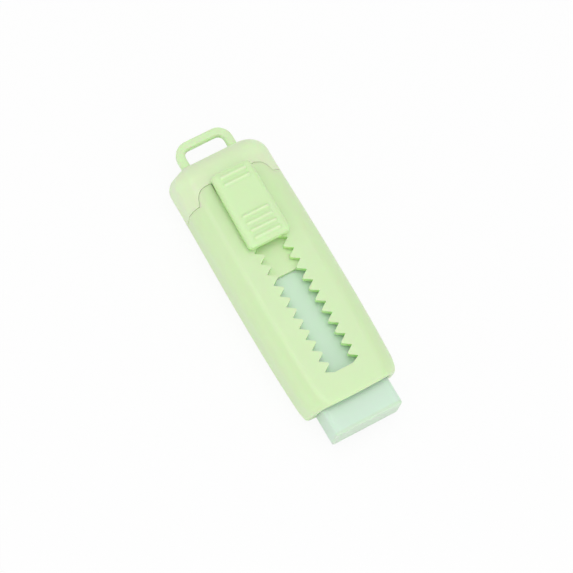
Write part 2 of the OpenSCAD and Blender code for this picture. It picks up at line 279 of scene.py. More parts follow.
# Angles round a section's edges, in degrees, closest where the face's edge leaves the flat
FINE_TO = 20
TOP_ANGLES = ([FINE_TO * i / 16 for i in range(17)]
              + [FINE_TO + (90 - FINE_TO) * i / 10 for i in range(1, 11)])
FLOOR_ANGLES = [90 * i / 10 for i in range(11)]
FLAT_SHARES = (0, 0.2, 0.4, 0.6, 0.7, 0.76, 0.82, 0.88, 0.92, 0.96, 0.98, 1)

# Small sizes in millimetres: how near points are welded, how flat a flat face is, the radius of
# rims inside, how far a body bites into what it joins, and how far a cutter reaches past
WELD, FLAT, INNER_RIM, BITE, PAST = 0.0004, 0.002, 0.25, 0.3, 1


def half_columns():
    """Places round half of a section: share of the flat, then sine and cosine on the edge."""
    places = [(f, 0.0, 1.0, True) for f in FLAT_SHARES]
    for angle in TOP_ANGLES[1:]:
        a = math.radians(angle)
        places.append((1, math.sin(a), math.cos(a), True))
    for angle in FLOOR_ANGLES:
        a = math.radians(angle)
        places.append((1, math.cos(a), math.sin(a), False))
    places += [(f, 0.0, 1.0, False) for f in reversed(FLAT_SHARES[:-1])]
    return places


HALF = half_columns()
COLUMNS = [(1, *c) for c in HALF] + [(-1, *c) for c in reversed(HALF[1:-1])]


def on_section(column, half_w, z0, z1, r, back_r=None):
    """Point of one column on a soft-edged section, whose back edges may have their own radius."""
    side, flat_share, across, up, top = column
    if back_r is not None and not top:
        r = back_r
    y = side * ((half_w - r) * flat_share + r * across)
    z = z1 - r * (1 - up) if top else z0 + r * (1 - up)
    return y, z


def round_in(r, s):
    """How far a quarter round of radius r lies inside its box at distance s from its end."""
    return r - math.sqrt(max(r * r - (r - s) ** 2, 0)) if s < r else 0.0


def ease(t):
    """Goes from 0 to 1 with a soft start and end."""
    return t * t * (3 - 2 * t)


def blend_between(a, b, t):
    return a + (b - a) * t


def loft(bm, rings, closed=False):
    """Skins rings of points with quads, and returns their vertices."""
    rows = [[bm.verts.new(p) for p in ring] for ring in rings]
    pairs = list(zip(rows, rows[1:]))
    if closed:
        pairs.append((rows[-1], rows[0]))
    for a, b in pairs:
        n = len(a)
        for i in range(n):
            j = (i + 1) % n
            bm.faces.new((a[i], a[j], b[j], b[i]))
    return rows


def tidy(bm, gap=WELD):
    bmesh.ops.remove_doubles(bm, verts=bm.verts, dist=gap)
    bmesh.ops.recalc_face_normals(bm, faces=bm.faces)


def solid(rings):
    """A closed body through rings of points."""
    bm = bmesh.new()
    rows = loft(bm, rings)
    bm.faces.new(rows[0])
    bm.faces.new(rows[-1])
    tidy(bm)
    return bm


def block(low, high):
    """A block between two corners, to be cut or rounded further."""
    ring = [(low[0], low[1]), (high[0], low[1]), (high[0], high[1]), (low[0], high[1])]
    return solid([[(x, y, z) for x, y in ring] for z in (low[2], high[2])])


def to_scene(name, data):
    """A new object with this data, in the scene."""
    obj = bpy.data.objects.new(name, data)
    bpy.context.scene.collection.objects.link(obj)
    return obj


def to_object(name, bm):
    """An object drawn in millimetres, for use while building."""
    mesh = bpy.data.meshes.new(name)
    bm.to_mesh(mesh)
    bm.free()
    return to_scene(name, mesh)


def settled(obj):
    """The object's mesh with its modifiers applied; the object itself is removed."""
    bpy.context.view_layer.update()
    graph = bpy.context.evaluated_depsgraph_get()
    mesh = bpy.data.meshes.new_from_object(obj.evaluated_get(graph), depsgraph=graph)
    bpy.data.objects.remove(obj)
    return mesh


def to_bmesh(mesh):
    bm = bmesh.new()
    bm.from_mesh(mesh)
    return bm


def combine(base, others, operation="DIFFERENCE"):
    """Cuts other bodies from a body, or adds them. All are bmeshes in millimetres."""
    obj = to_object("base", base)
    tools = []
    for other in others:
        tool = to_object("tool", other)
        modifier = obj.modifiers.new("combine", "BOOLEAN")
        modifier.operation = operation
        modifier.solver = "EXACT"
        modifier.object = tool
        tools.append(tool)
    bm = to_bmesh(settled(obj))
    for tool in tools:
        bpy.data.objects.remove(tool)
    if not bm.faces:
        raise RuntimeError("a body vanished while it was combined")
    return bm


def soften(bm, edges, width, segments=2):
    """Rounds the given edges."""
    bmesh.ops.bevel(
        bm, geom=edges, offset=width, offset_type="OFFSET", segments=segments,
        profile=0.5, affect="EDGES", clamp_overlap=True, loop_slide=True)


def sharp_edges(bm, angle=40):
    limit = math.radians(angle)
    return [e for e in bm.edges if len(e.link_faces) == 2 and e.calc_face_angle(0) > limit]


def finish_piece(name, bm, body, node, material, sharp=38):
    """Turns a drawing in millimetres into a finished piece that rides on a CAD body."""
    many = [f for f in bm.faces if len(f.verts) > 4]
    bmesh.ops.triangulate(bm, faces=many, quad_method="BEAUTY", ngon_method="BEAUTY")
    limit = math.radians(sharp)
    for face in bm.faces:
        face.smooth = True
    for edge in bm.edges:
        edge.smooth = edge.calc_face_angle(0) < limit
    obj = to_object(name + "_draft", bm)
    weights = obj.modifiers.new("weights", "WEIGHTED_NORMAL")
    weights.keep_sharp = True
    weights.weight = 80
    mesh = settled(obj)
    mesh.name = name
    mesh.transform(Matrix.Scale(MM, 4))
    mesh.materials.clear()
    mesh.materials.append(material)
    piece = to_scene(name, mesh)
    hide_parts(node)
    if body:
        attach(piece, body)
    return piece


# Node trees

class Field:
    """A number carried by a node's socket, so that sums made of nodes read as sums."""

    def __init__(self, tree, socket):
        self.tree, self.socket = tree, socket

    def __add__(self, other):
        return self.tree.math("ADD", self, other)

    def __sub__(self, other):
        return self.tree.math("SUBTRACT", self, other)

    def __rsub__(self, other):
        return self.tree.math("SUBTRACT", other, self)

    def __mul__(self, other):
        return self.tree.math("MULTIPLY", self, other)

    def __truediv__(self, other):
        return self.tree.math("DIVIDE", self, other)


class Nodes:
    """Adds nodes to a node tree. What is fed to a socket is a number, a socket or a field."""

    def __init__(self, tree):
        self.tree = tree

    def feed(self, socket, value):
        value = getattr(value, "socket", value)
        if isinstance(value, bpy.types.NodeSocket):
            self.tree.links.new(value, socket)
        else:
            socket.default_value = value

    def add(self, kind, settings=None, **values):
        node = self.tree.nodes.new(kind)
        for key, value in (settings or {}).items():
            setattr(node, key, value)
        for key, value in values.items():
            self.feed(node.inputs[key.replace("_", " ")], value)
        return node

    def math(self, operation, a, b=0.0):
        node = self.tree.nodes.new("ShaderNodeMath")
        node.operation = operation
        self.feed(node.inputs[0], a)
        self.feed(node.inputs[1], b)
        return Field(self, node.outputs[0])

    def vector(self, x, y, z):
        return self.add("ShaderNodeCombineXYZ", X=x, Y=y, Z=z).outputs[0]


class GeometryTree(Nodes):
    """A geometry node tree whose named inputs are numbers, counts and a material."""

    def __init__(self, name, numbers, counts):
        super().__init__(bpy.data.node_groups.new(name, "GeometryNodeTree"))
        face = self.tree.interface
        face.new_socket(name="Geometry", in_out="INPUT", socket_type="NodeSocketGeometry")
        face.new_socket(name="Geometry", in_out="OUTPUT", socket_type="NodeSocketGeometry")
        face.new_socket(name="Material", in_out="INPUT", socket_type="NodeSocketMaterial")
        for kind, labels in (("NodeSocketFloat", numbers), ("NodeSocketInt", counts)):
            for label in labels:
                face.new_socket(name=label, in_out="INPUT", socket_type=kind)
        self.entry = self.tree.nodes.new("NodeGroupInput")
        self.exit = self.tree.nodes.new("NodeGroupOutput")

    def given(self, *labels):
        """The inputs of these names."""
        found = [Field(self, self.entry.outputs[label]) for label in labels]
        return found if len(found) > 1 else found[0]

    def choose(self, test, no, yes):
        """yes where test is 1, no where it is 0."""
        return test * yes + (1 - test) * no

    def equal(self, a, b):
        return self.math("LESS_THAN", self.math("ABSOLUTE", a - b), 0.5)

    def close(self, geometry):
        """Ends the tree in Realize Instances and Set Material."""
        real = self.add("GeometryNodeRealizeInstances", Geometry=geometry)
        painted = self.add("GeometryNodeSetMaterial", Geometry=real.outputs[0],
                           Material=self.given("Material"))
        self.feed(self.exit.inputs[0], painted.outputs[0])
        return self.tree


def run_tree(tree, obj, values):
    """Runs a tree on an object and returns the result as a plain mesh."""
    modifier = obj.modifiers.new("nodes", "NODES")
    modifier.node_group = tree
    for item in tree.interface.items_tree:
        if item.in_out == "INPUT" and item.name in values:
            modifier[item.identifier] = values[item.name]
    return settled(obj)


def zigzag_tree():
    """Body of the zigzag slot: two rows of notches, rounded tips, drawn up from its underside."""
    t = GeometryTree("zigzag_slot", (
        "Pitch", "Depth", "Width", "First notch", "End", "End width", "Rear", "Notch radius",
        "Tooth radius", "End radius", "Bottom", "Height"), ("Notches",))
    pitch, depth, width, first = t.given("Pitch", "Depth", "Width", "First notch")
    last = t.given("Notches") * 2 + 1
    number = (last + 1) * 2
    line = t.add("GeometryNodeMeshLine", Count=number)
    index = Field(t, t.add("GeometryNodeInputIndex").outputs[0])
    left = t.math("GREATER_THAN", index, last)
    j = t.choose(left, index, number - 1 - index)
    at_end, at_rear, at_notch = t.equal(j, 0.0), t.equal(j, last), t.math("MODULO", j, 2)
    x = t.choose(at_end, first - (j - 1) * (pitch / 2), first + t.given("End"))
    x = t.choose(at_rear, x, t.given("Rear"))
    y = t.choose(at_end, width / 2 + depth * at_notch, t.given("End width") / 2)
    y = t.choose(at_rear, y, width / 2) * t.choose(left, 1.0, -1.0)
    points = t.add("GeometryNodeSetPosition", Geometry=line.outputs[0],
                   Position=t.vector(x, y, 0.0))
    curve = t.add("GeometryNodeMeshToCurve", Mesh=points.outputs[0])
    ring = t.add("GeometryNodeSetSplineCyclic", Geometry=curve.outputs[0], Cyclic=True)
    radius = t.choose(at_notch, *t.given("Tooth radius", "Notch radius"))
    radius = t.choose(at_end, radius, t.given("End radius"))
    radius = t.choose(at_rear, radius, 0.0)
    fillet = t.add("GeometryNodeFilletCurve", {"mode": "POLY"}, Curve=ring.outputs[0],
                   Radius=radius, Count=5, Limit_Radius=True)
    sheet = t.add("GeometryNodeFillCurve", {"mode": "NGONS"}, Curve=fillet.outputs[0])
    floor = t.add("GeometryNodeSetPosition", Geometry=sheet.outputs[0],
                  Offset=t.vector(0.0, 0.0, t.given("Bottom")))
    raised = t.add("GeometryNodeExtrudeMesh", Mesh=floor.outputs[0], Offset_Scale=1.0,
                   Offset=t.vector(0.0, 0.0, t.given("Height")), Individual=False)
    under = t.add("GeometryNodeFlipFaces", Mesh=floor.outputs[0])
    both = t.add("GeometryNodeJoinGeometry", Geometry=raised.outputs[0])
    t.feed(both.inputs[0], under.outputs[0])
    whole = t.add("GeometryNodeMergeByDistance", Geometry=both.outputs[0], Distance=0.001)
    return t.close(whole.outputs[0])


def rib_tree():
    """Raises two groups of ribs with round ends out of a pad's top."""
    t = GeometryTree("pad_ribs", (
        "Top", "Rear first", "Front first", "Pitch", "Length", "Width", "Height"),
        ("Rear ribs", "Front ribs"))
    pitch, width = t.given("Pitch", "Width")
    place = t.add("GeometryNodeInputPosition").outputs[0]
    split = t.add("ShaderNodeSeparateXYZ", Vector=place)
    x, y, z = (Field(t, socket) for socket in split.outputs)
    past_end = t.math("ABSOLUTE", y) - (t.given("Length") / 2 - width / 2)
    past_end = t.math("MAXIMUM", past_end, 0.0)
    near = []
    for end, way in (("Rear", 1.0), ("Front", -1.0)):
        first, number = t.given(end + " first", end + " ribs")
        along = (x - first) / (pitch * way)
        nearest = t.math("MAXIMUM", t.math("ROUND", along), 0.0)
        nearest = t.math("MINIMUM", nearest, number - 1)
        off = t.math("ABSOLUTE", (along - nearest) * pitch)
        near.append(t.math("SQRT", t.math("POWER", off, 2) + t.math("POWER", past_end, 2)))
    inside = 1 - t.math("MINIMUM", *near) / (width / 2)
    inside = t.math("MAXIMUM", inside, 0.0)
    curve = t.math("POWER", inside, 2) * (3 - inside * 2)
    on_top = t.math("GREATER_THAN", z, t.given("Top") - 0.001)
    ribs = t.add("GeometryNodeSetPosition", Geometry=t.given("Geometry"),
                 Offset=t.vector(0.0, 0.0, curve * t.given("Height") * on_top))
    return t.close(ribs.outputs[0])


# Materials

# Scales of the noise in the colour, the roughness and the bump, and the roughness's range
CLOUD_SCALE, ROUGH_SCALE, GRAIN_SCALE = 140, 900, 5000
ROUGH_RANGE = 0.03
# How far red, green and blue light go through the plastic and the vinyl, in millimetres
PLASTIC_DEPTH, VINYL_DEPTH = (0.8, 1.6, 0.6), (1.2, 1.8, 1.2)


def new_material(name):
    """A material with its nodes, and its shader."""
    material = bpy.data.materials.new(name)
    material.use_nodes = True
    t = Nodes(material.node_tree)
    return material, t, t.tree.nodes["Principled BSDF"]


def surface(name, finish, stops, along, limits, roughness, soft, depth):
    """A moulded surface whose colour runs through stops along a direction of the part.

    stops are pairs of a place along the direction, in millimetres, and a linear colour.
    limits are how far from the middle plane and up to which station the stops hold;
    elsewhere the surface has the last stop's colour.
    """
    material, t, shader = new_material(name)
    place = t.add("ShaderNodeTexCoord").outputs["Object"]

    def noise(scale, detail):
        node = t.add("ShaderNodeTexNoise", Scale=scale, Detail=detail, Vector=place)
        return node.outputs["Fac"]

    def spread(value, low, high, start=0.3, end=0.7):
        node = t.add("ShaderNodeMapRange", Value=value, From_Min=start, From_Max=end,
                     To_Min=low, To_Max=high)
        return node.outputs["Result"]

    first, last = stops[0][0] * MM, stops[-1][0] * MM
    reach = t.add("ShaderNodeVectorMath", {"operation": "DOT_PRODUCT"})
    t.feed(reach.inputs[0], place)
    t.feed(reach.inputs[1], along)
    share_along = spread(reach.outputs["Value"], 0, 1, first, last)
    if limits:
        axes = t.add("ShaderNodeSeparateXYZ", Vector=place).outputs
        side = t.math("GREATER_THAN", t.math("ABSOLUTE", axes["Y"]), limits[0] * MM)
        ahead = t.math("GREATER_THAN", axes["X"], limits[1] * MM)
        share_along = t.math("MAXIMUM", share_along, t.math("MAXIMUM", side, ahead))
    ramp = t.add("ShaderNodeValToRGB", Fac=share_along)
    steps = ramp.color_ramp.elements
    while len(steps) < len(stops):
        steps.new(0.5)
    for step, (spot, tone) in zip(steps, stops):
        step.position = (spot * MM - first) / (last - first)
        step.color = (*tone, 1)
    clouds = t.add("ShaderNodeMix", {"data_type": "RGBA", "blend_type": "MULTIPLY"}, Factor=1,
                   A=ramp.outputs["Color"],
                   B=spread(noise(CLOUD_SCALE, 4), 1 - finish.mottle, 1))
    bump = t.add("ShaderNodeBump", Strength=0.35, Distance=finish.grain * MM,
                 Height=noise(GRAIN_SCALE, 3))
    rough = spread(noise(ROUGH_SCALE, 3), roughness - ROUGH_RANGE, roughness + ROUGH_RANGE)
    for label, value in {
            "Base Color": clouds.outputs["Result"], "Roughness": rough,
            "Normal": bump.outputs["Normal"], "IOR": 1.5, "Coat Weight": finish.veil,
            "Coat Roughness": 0.4, "Subsurface Weight": soft, "Subsurface Radius": depth,
            "Subsurface Scale": MM}.items():
        t.feed(shader.inputs[label], value)
    return material


def plastic(name, f, stops, along=(0, 0, 1), limits=None):
    return surface(name, f, stops, along, limits, f.plastic_rough, f.plastic_soft, PLASTIC_DEPTH)


def vinyl(name, f, stops):
    return surface(name, f, stops, (1, 0, 0), None, f.eraser_rough, f.eraser_soft, VINYL_DEPTH)


# Shapes of the holder

# Share of the height from which the corners' radius turns to that of the face, and over what share
TURN_START, TURN_SHARE = 0.38, 0.3
# How much of its rounding at the rear an edge takes off its own radius
EDGE_GIVE = 0.4
# Power of the curve of the parting line's S
S_POWER = 2.4
# Stations of the sleeve: first past the parting line, last ahead of the mouth's rounding
BODY_START, BODY_END, BODY_STEPS = 1.1, 5.4, 24
MOUTH_CORNER_R, MOUTH_TOP_GAP = 1.0, 0.03
# How far the slot's cutters reach past the face and its underside
UNDER, OVER = 0.6, 0.8
# Depths in the slot between which its walls turn from the deep colour, which is painted shade, to
# the sleeve's
SHADE_FROM, SHADE_TO = 0.45, 0.05
# How far beside the rear opening the painted shade of the deep colour may still lie
SHADE_MARGIN = 0.3


def holder_places(h):
    """Stations along the holder, in millimetres."""
    mouth = SLEEVE_BOX[1].x
    parting = mouth - h.parting
    return SimpleNamespace(
        mouth=mouth, parting=parting, rear=parting - h.cap_l,
        shoulder=mouth - h.shoulder, widest=mouth - h.widest,
        collar=parting - h.collar_l, top=SLEEVE_BOX[1].z, half_w=SLEEVE_BOX[1].y)


def half_width(h, p, x):
    """Half the holder's width at a station, without the rounding of its corners."""
    rear_half = p.half_w - h.rear_draw
    start = p.rear + h.cap_face_r
    if x < start:
        return rear_half
    if x < p.widest:
        return rear_half + h.rear_draw * ease((x - start) / (p.widest - start))
    if x < p.shoulder:
        t = (x - p.widest) / (p.shoulder - p.widest)
        return p.half_w - h.shoulder_draw * t ** 3
    run = h.shoulder - h.bow
    slope = 3 * h.shoulder_draw / (p.shoulder - p.widest) * run
    t = (x - p.shoulder) / run
    drop = h.mouth_draw - h.shoulder_draw
    return p.half_w - h.shoulder_draw - slope * t - (drop - slope) * t * t


def corner_turn(h, p, x, z):
    """How far the corners draw the side in: they are rounder towards the face than at the back."""
    rear, front = max(x - p.rear, 0), max(p.mouth - x, 0)
    low = round_in(h.cap_corner_r, rear) + round_in(h.mouth_corner_r, front)
    high = round_in(h.cap_face_r, rear) + round_in(h.mouth_face_r, front)
    share_up = min(max((z / p.top - TURN_START) / TURN_SHARE, 0), 1)
    return blend_between(low, high, ease(share_up))


def on_holder(h, p, column, x, inset=0.0):
    """Point of one column on the holder's outside at a station."""
    near = x - p.rear
    edge, back = round_in(h.cap_edge_r, near), round_in(h.cap_back_r, near)
    half_w = half_width(h, p, x) - inset
    y, z = on_section(column, half_w, back + inset, p.top - edge - inset,
                      h.edge_r - EDGE_GIVE * edge - inset, h.edge_r - EDGE_GIVE * back - inset)
    return x, y * (1 - corner_turn(h, p, x, z) / half_w), z


def parting_place(h, p, column, grow=0.0):
    """Station of the parting line in one column: an S on each side of the tongue."""
    y, z = on_section(column, half_width(h, p, p.parting), 0, p.top, h.edge_r)
    if z < p.top / 2:
        return p.parting - grow
    foot, tip = h.tongue_foot / 2 + grow, h.tongue_top / 2 + grow
    t = min(max((abs(y) - tip) / (foot - tip), 0), 1)
    return p.parting - grow - h.tongue * math.sqrt(1 - t ** S_POWER)


def mouth_place(h, p, y, z):
    """Station of the bowed and raked mouth at a place of its section."""
    bowed = h.bow * (y / (p.half_w - h.mouth_draw)) ** 2
    raked = h.rake * (1 - z / p.top)
    return p.mouth - (bowed ** 2 + raked ** 2) ** 0.5


def inner_ring(half_w, z0, z1, r, station):
    """Ring of an inner section at a station, which may depend on the place in the section."""
    ring = []
    for column in COLUMNS:
        y, z = on_section(column, half_w, z0, z1, r)
        ring.append((station(y, z) if callable(station) else station, y, z))
    return ring


def rim(r, steps=3):
    """Rounded rim of an end face: distance behind the face and inset from the side, face first."""
    angles = [math.pi / 2 * i / steps for i in range(steps + 1)]
    return [(r * (1 - math.cos(a)), r * (1 - math.sin(a))) for a in angles]


def steps_between(start, end, number):
    """Stations strictly between two lists of stations, column by column."""
    return [[blend_between(a, b, i / (number + 1)) for a, b in zip(start, end)]
            for i in range(1, number + 1)]


def spaced(start, end, number):
    """Stations from start to end, both included, the same in all columns."""
    return [[blend_between(start, end, i / number)] * len(COLUMNS) for i in range(number + 1)]


def skin_rings(h, p, stations):
    """Rings on the holder's outside at lists of stations."""
    return [[on_holder(h, p, c, x) for c, x in zip(COLUMNS, xs)] for xs in stations]


def opening_ring(h, grow, station):
    """Ring of the mouth's opening."""
    high = SLEEVE_BOX[1].z - h.wall - MOUTH_TOP_GAP
    return inner_ring(ERASER_BOX[1].y + h.mouth_gap + grow, h.wall + h.rail_h - grow, high + grow,
                      MOUTH_CORNER_R + grow, station)


def channel_ring(h, station):
    """Ring of the channel behind the mouth's lip."""
    return inner_ring(h.channel_w / 2, h.wall, SLEEVE_BOX[1].z - h.wall, h.edge_r - h.wall, station)


def collar_ring(h, grow, station, inset=0.0):
    """Ring of the collar, with a station or a list of stations."""
    out = h.collar_wall + grow - inset
    section = (h.channel_w / 2 + out, h.wall - out, SLEEVE_BOX[1].z - h.wall + out,
               h.edge_r - h.wall + out)
    stations = station if isinstance(station, list) else [station] * len(COLUMNS)
    return [(x, *on_section(c, *section)) for c, x in zip(COLUMNS, stations)]


def sleeve_rings(h, p):
    """Rings of the sleeve without its slot: over the outside, in at the mouth, to the collar."""
    start = [parting_place(h, p, c) for c in COLUMNS]
    rings = [[on_holder(h, p, c, x + d, i) for c, x in zip(COLUMNS, start)]
             for d, i in rim(h.parting_r)]
    first = [x + h.parting_r for x in start]
    body = spaced(p.parting + BODY_START, p.mouth - BODY_END, BODY_STEPS)
    ends = [mouth_place(h, p, *on_holder(h, p, c, p.mouth - h.bow)[1:]) for c in COLUMNS]
    last = [x - h.mouth_r for x in ends]
    rings += skin_rings(h, p, steps_between(first, body[0], 2) + body
                        + steps_between(body[-1], last, 8))
    rings += [[on_holder(h, p, c, x - d, i) for c, x in zip(COLUMNS, ends)]
              for d, i in reversed(rim(h.mouth_r, 5))]
    rings += [opening_ring(h, i, lambda y, z, d=d: mouth_place(h, p, y, z) - d)
              for d, i in rim(INNER_RIM)]
    lip = p.mouth - h.lip
    rings.append(opening_ring(h, 0, lip))
    rings += [channel_ring(h, x) for x in (lip, p.widest, p.parting, p.collar)]
    rings += [collar_ring(h, 0, p.collar + d, i) for d, i in rim(INNER_RIM)]
    rings.append(collar_ring(h, 0, start))
    return rings


def slot_cutter(h, p, q, material):
    """The zigzag slot as a body, with the plain opening behind it."""
    low = p.top - h.wall - UNDER
    seed = bmesh.new()
    seed.verts.new((0, 0, 0))
    body = run_tree(zigzag_tree(), to_object("slot_seed", seed), {
        "Pitch": q.pitch, "Notches": q.notches, "Depth": q.depth, "Width": q.width,
        "First notch": p.mouth - q.from_mouth, "End": q.end_l, "End width": q.end_w,
        "Rear": p.collar - 2 * PAST, "Notch radius": q.notch_r, "Tooth radius": q.tooth_r,
        "End radius": q.end_r, "Bottom": low, "Height": h.wall + 2 * UNDER,
        "Material": material})
    entry = block((p.collar - PAST, -q.entry_w / 2, low - 0.1),
                  (p.parting + q.entry_l, q.entry_w / 2, p.top + OVER))
    zigzag = to_bmesh(body)
    tidy(zigzag)
    return [zigzag, entry]


def face_rim(bm, top):
    """Edges between the flat face and an upright wall."""
    found = []
    for edge in bm.edges:
        if len(edge.link_faces) == 2 and all(abs(v.co.z - top) < FLAT for v in edge.verts):
            a, b = sorted(abs(f.normal.z) for f in edge.link_faces)
            if a < 0.05 and b > 0.999:
                found.append(edge)
    return found


def merge_flat(bm, height, up):
    """Makes one face of the flat faces that join each other at a height."""
    flat = [f for f in bm.faces if f.normal.z * up > 0.9999
            and all(abs(v.co.z - height) < FLAT for v in f.verts)]
    bmesh.ops.dissolve_faces(bm, faces=flat, use_verts=True)


def make_sleeve(context):
    h, q, f = groups(context, "holder", "slot", "finish")
    p = holder_places(h)
    # The slot's walls and the inside below the slot get the deep colour: painted shade, a saturated
    # green where the slot lies in shade
    material = plastic(
        "sleeve_plastic", f, [(p.top - SHADE_FROM, f.deep), (p.top - SHADE_TO, f.sleeve)],
        limits=(q.entry_w / 2 + SHADE_MARGIN, p.mouth - h.lip - PAST))
    shell = bmesh.new()
    loft(shell, sleeve_rings(h, p), closed=True)
    tidy(shell)
    rails = []
    for side in (-1, 1):
        y = side * h.rail_spacing / 2
        rails.append(block(
            (p.parting, y - h.rail_w / 2, h.wall - BITE),
            (p.mouth - h.lip + 0.1, y + h.rail_w / 2, h.wall + h.rail_h - 0.01)))
    bm = combine(shell, rails, "UNION")
    bm = combine(bm, slot_cutter(h, p, q, material))
    tidy(bm, FLAT)
    merge_flat(bm, p.top, 1)
    merge_flat(bm, p.top - h.wall, -1)
    soften(bm, face_rim(bm, p.top), q.edge_r, 3)
    finish_piece("sleeve_shell", bm, "housing", "sleeve", material)


# Shapes of the cap

LOOP_EDGE_R = 0.62
# How much the loop's feet spread outwards, inwards and upwards, and over what length
FLARE_OUT, FLARE_IN, FLARE_UP, FLARE_REACH = 0.95, 0.4, 0.5, 1.0


def loop_section(h, steps=5, r=LOOP_EDGE_R):
    """Section of the key loop's bar, outwards and up."""
    a, b = h.loop_bar / 2 - r, h.loop_t / 2 - r
    ring = []
    for turn, (ca, cb) in enumerate(((a, b), (-a, b), (-a, -b), (a, -b))):
        for i in range(steps + 1):
            angle = math.pi / 2 * (turn + i / steps)
            ring.append((ca + r * math.cos(angle), cb + r * math.sin(angle)))
    return ring


def loop_rings(h, p, out, z):
    """Rings of the key loop from one foot round to the other."""
    half = h.loop_w / 2 - h.loop_bar / 2
    turn_r = h.loop_r - h.loop_bar / 2
    far = out + turn_r + h.loop_bar / 2
    section = loop_section(h)

    def ring(x, y, way, spread=0.0):
        points = []
        for a, b in section:
            wide = FLARE_OUT if a > 0 else FLARE_IN
            grown = a * (1 + spread * wide / (h.loop_bar / 2))
            points.append((x + way[0] * grown, y + way[1] * grown,
                           z + b * (1 + spread * FLARE_UP / (h.loop_t / 2))))
        return points

    leg = [(p.rear - FLARE_REACH * (1 - math.cos(a)), 1 - math.sin(a))
           for a in (math.pi / 2 * i / 6 for i in range(7))]
    rings = [ring(x, half, (0, 1), spread) for x, spread in leg]
    for side, run in ((1, range(11)), (-1, range(10, -1, -1))):
        for i in run:
            a = math.pi / 2 * i / 10
            rings.append(ring(far - turn_r * math.sin(a),
                              side * (half - turn_r + turn_r * math.cos(a)),
                              (-math.sin(a), side * math.cos(a))))
    rings += [ring(x, -half, (0, -1), spread) for x, spread in reversed(leg)]
    return rings


def cap_rings(h, p):
    """Rings of the cap: from its flat rear over the outside, then in to its inner rear wall."""
    r = max(h.cap_face_r, h.cap_edge_r)
    outer = [p.rear + r * (1 - math.cos(math.pi / 2 * i / 18)) for i in range(19)]
    outer += [p.parting - h.collar_l, p.parting - h.tongue - 0.7]
    outer = [[x] * len(COLUMNS) for x in outer]
    edge = [parting_place(h, p, c, h.seam) for c in COLUMNS]
    last = [x - h.parting_r for x in edge]
    rings = skin_rings(h, p, outer + steps_between(outer[-1], last, 3))
    rings += [[on_holder(h, p, c, x - d, i) for c, x in zip(COLUMNS, edge)]
              for d, i in reversed(rim(h.parting_r))]
    rings.append(collar_ring(h, h.cap_gap, edge))
    deep = p.collar - h.cap_gap
    rings.append(collar_ring(h, h.cap_gap, deep))
    rings += [channel_ring(h, x) for x in (deep, p.rear + h.cap_wall)]
    return rings


def make_cap(context):
    h, f = groups(context, "holder", "finish")
    p = holder_places(h)
    bm = bmesh.new()
    rows = loft(bm, cap_rings(h, p))
    bm.faces.new(rows[-1])
    loft(bm, loop_rings(h, p, CAP_BOX[0].x, p.top / 2))
    bmesh.ops.remove_doubles(bm, verts=[v for v in bm.verts if v not in rows[0]], dist=WELD)
    flat = {v for v in bm.verts if v.is_valid and abs(v.co.x - p.rear) < 0.0005}
    open_edges = [e for e in bm.edges if e.is_boundary and all(v in flat for v in e.verts)]
    bmesh.ops.triangle_fill(bm, use_beauty=True, use_dissolve=False, edges=open_edges,
                            normal=(-1, 0, 0))
    tidy(bm)
    # The rear few millimetres go over into the loop colour: painted shade, a deeper green at the
    # rear of the cap and on the loop
    material = plastic("cap_plastic", f, [(p.rear + 0.2, f.loop), (p.rear + 3, f.cap)], (1, 0, 0))
    finish_piece("cap_shell", bm, "cap", "end_cap", material)


# Shapes of the thumb button

# Heights over the pad's foot and under its top between which the deep colour's painted shade gives
# way to the button's colour, and over its top where the ribs' painted highlight starts
FOOT_SHADE, SHADE_END, HIGHLIGHT_START = 0.2, 0.9, 0.1
NECK_EDGE_R = 0.3


def arc(cx, cy, r, start, end, steps=12):
    angles = [math.radians(start + (end - start) * i / steps) for i in range(steps + 1)]
    return [Vector((cx + r * math.cos(a), cy + r * math.sin(a))) for a in angles]


def evenly(points, number):
    """Points spaced evenly along a line of points."""
    lengths = [0.0]
    for a, b in zip(points, points[1:]):
        lengths.append(lengths[-1] + (b - a).length)
    found, k = [], 0
    for i in range(number + 1):
        want = lengths[-1] * i / number
        while k < len(points) - 2 and lengths[k + 1] < want:
            k += 1
        run = lengths[k + 1] - lengths[k]
        found.append(points[k].lerp(points[k + 1], (want - lengths[k]) / run if run else 0))
    return found


def pad_sides(b, inset, nx, ny):
    """The pad's outline as four runs from corner to corner: right, rear, left, front."""
    r, front, rear = b.corner_r, b.front_w / 2 - b.corner_r, b.rear_w / 2 - b.corner_r
    a, z = -r, r - b.pad_l
    e = r - inset
    right = arc(a, front, e, 45, 90) + arc(z, rear, e, 90, 135)
    back = arc(z, rear, e, 135, 180) + arc(z, -rear, e, 180, 225)
    left = arc(z, -rear, e, 225, 270) + arc(a, -front, e, 270, 315)
    ahead = arc(a, -front, e, 315, 360) + arc(a, front, e, 0, 45)
    return [evenly(run, n) for run, n in ((right, nx), (back, ny), (left, nx), (ahead, ny))]


